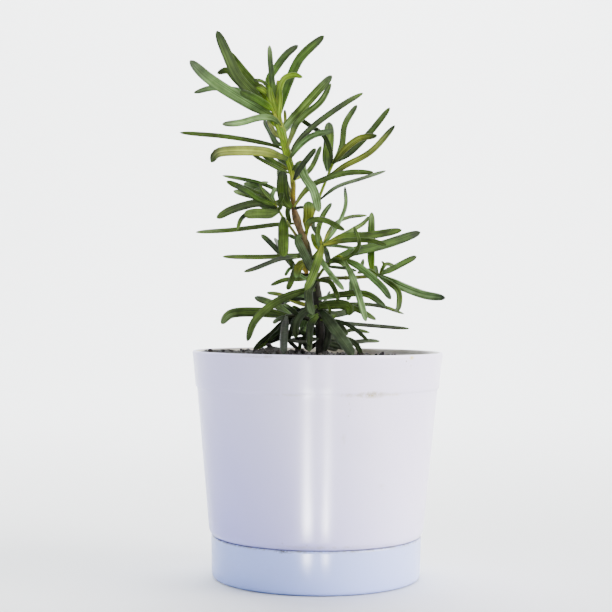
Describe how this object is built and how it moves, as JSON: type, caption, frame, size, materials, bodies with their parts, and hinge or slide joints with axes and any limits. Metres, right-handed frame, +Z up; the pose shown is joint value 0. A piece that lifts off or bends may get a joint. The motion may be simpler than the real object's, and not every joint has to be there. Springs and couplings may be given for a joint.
{
  "type": "potted rosemary plant",
  "caption": "Young rosemary with a leaning woody stem, side shoots and narrow leathery leaves, in a round white plastic pot that stands on a push-on base cup.",
  "frame": {"origin": "centre of the base cup's flat underside, where the plant rests", "axes": "+Z up along the pot's axis, -Y towards the plant's front, +X to the right as seen from the front"},
  "size_m": [0.1064, 0.1, 0.2195],
  "materials": {
    "white_plastic": "smooth injection-moulded white polypropylene, satin gloss, lightly stained",
    "soil": null,
    "woody_stem": "thin brown bark that turns green towards the tip",
    "green_stem": "soft yellow-green to olive shoot",
    "leaf": "leathery leaf with a dark green top, a groove along the middle, rolled edges and a pale felted underside"
  },
  "bodies": {
    "root": {"pot": "white_plastic", "base_cup": "white_plastic", "soil": "soil", "main_stem": "woody_stem", "main_stem_leaf_01": "leaf", "main_stem_leaf_02": "leaf", "main_stem_leaf_03": "leaf", "main_stem_leaf_04": "leaf", "main_stem_leaf_05": "leaf", "main_stem_leaf_06": "leaf", "main_stem_leaf_07": "leaf", "main_stem_leaf_08": "leaf", "main_stem_leaf_09": "leaf", "main_stem_leaf_10": "leaf", "main_stem_leaf_11": "leaf", "main_stem_leaf_12": "leaf", "main_stem_leaf_13": "leaf", "main_stem_leaf_14": "leaf", "main_stem_leaf_15": "leaf", "main_stem_leaf_16": "leaf", "main_stem_leaf_17": "leaf", "main_stem_leaf_18": "leaf", "main_stem_leaf_19": "leaf", "main_stem_leaf_20": "leaf", "main_stem_leaf_21": "leaf", "main_stem_leaf_22": "leaf", "main_stem_leaf_23": "leaf", "main_stem_leaf_24": "leaf", "main_stem_leaf_25": "leaf", "main_stem_leaf_26": "leaf", "left_upper_shoot": "green_stem", "left_upper_shoot_leaf_01": "leaf", "left_upper_shoot_leaf_02": "leaf", "left_upper_shoot_leaf_03": "leaf", "left_upper_shoot_leaf_04": "leaf", "right_upper_shoot": "green_stem", "right_upper_shoot_leaf_01": "leaf", "right_upper_shoot_leaf_02": "leaf", "right_upper_shoot_leaf_03": "leaf", "right_upper_shoot_leaf_04": "leaf", "right_upper_shoot_leaf_05": "leaf", "right_upper_shoot_leaf_06": "leaf", "right_upper_shoot_leaf_07": "leaf", "right_centre_shoot": "green_stem", "right_centre_shoot_leaf_01": "leaf", "right_centre_shoot_leaf_02": "leaf", "right_centre_shoot_leaf_03": "leaf", "right_mid_shoot": "green_stem", "right_mid_shoot_leaf_01": "leaf", "right_mid_shoot_leaf_02": "leaf", "right_mid_shoot_leaf_03": "leaf", "right_lower_branch": "green_stem", "right_lower_branch_leaf_01": "leaf", "right_lower_branch_leaf_02": "leaf", "right_lower_branch_leaf_03": "leaf", "left_mid_shoot": "green_stem", "left_mid_shoot_leaf_01": "leaf", "left_lower_branch": "green_stem", "left_lower_branch_leaf_01": "leaf", "left_lower_branch_leaf_02": "leaf"}
  },
  "joints": []
}
